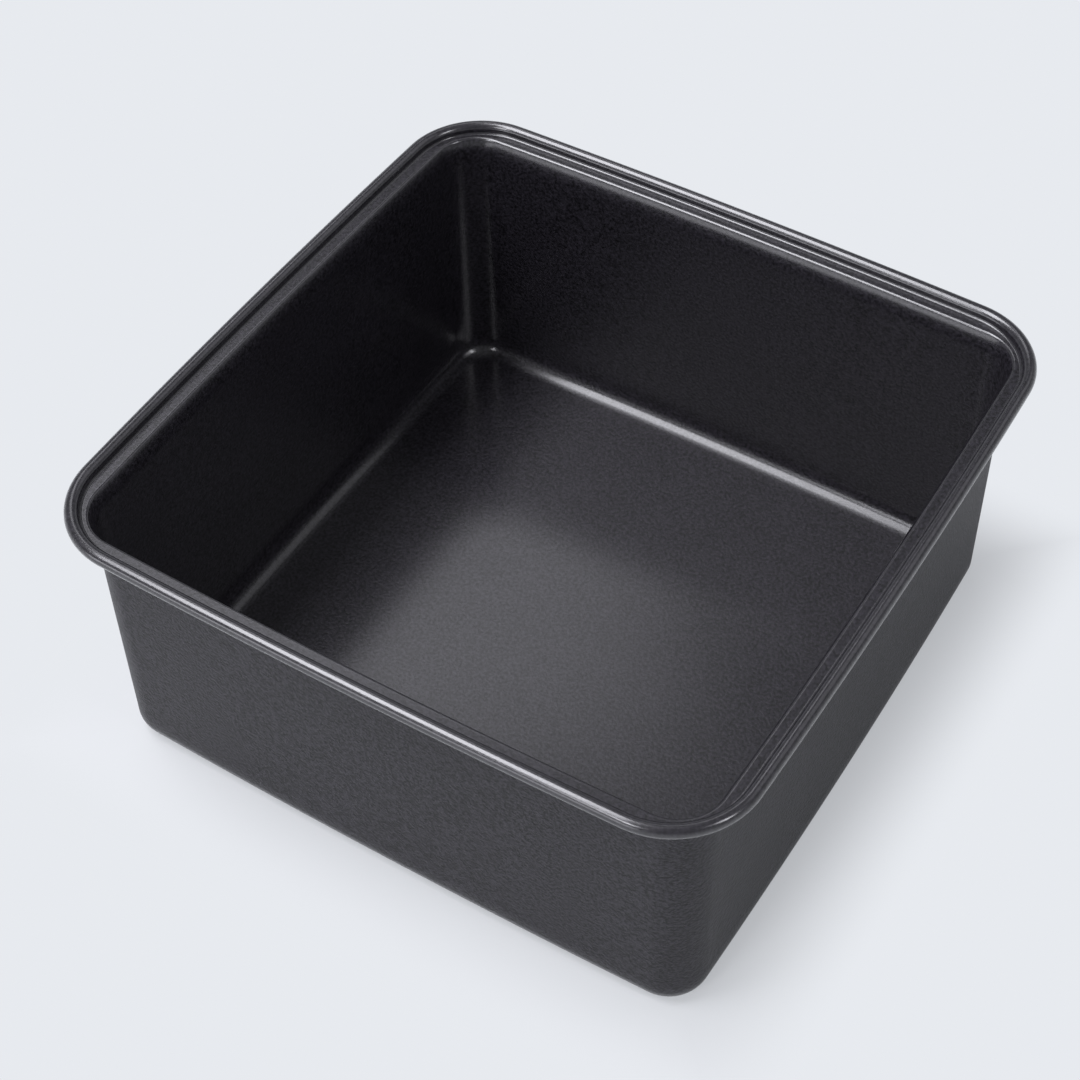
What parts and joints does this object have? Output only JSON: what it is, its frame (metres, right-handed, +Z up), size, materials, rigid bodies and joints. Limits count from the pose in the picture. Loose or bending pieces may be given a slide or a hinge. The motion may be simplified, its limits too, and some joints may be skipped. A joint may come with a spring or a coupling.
{
  "type": "square baking pan",
  "caption": "Deep square baking pan with upright walls, rounded corners and a stepped rim rolled over a wire, in a dark satin non-stick coating.",
  "frame": {"origin": "middle of the underside of the base, on the surface that the pan stands on", "axes": "+Z up, out of the pan's mouth; +X and +Y square to the sides; the ends of the rim wire meet at +Y"},
  "size_m": [0.22, 0.22, 0.098],
  "materials": {
    "charcoal_coating": "satin charcoal non-stick coating with a fine grain, on drawn steel sheet",
    "steel_wire": "drawn steel wire, dull"
  },
  "bodies": {
    "root": {"pan_shell": "charcoal_coating", "rim_wire": "steel_wire"}
  },
  "joints": []
}
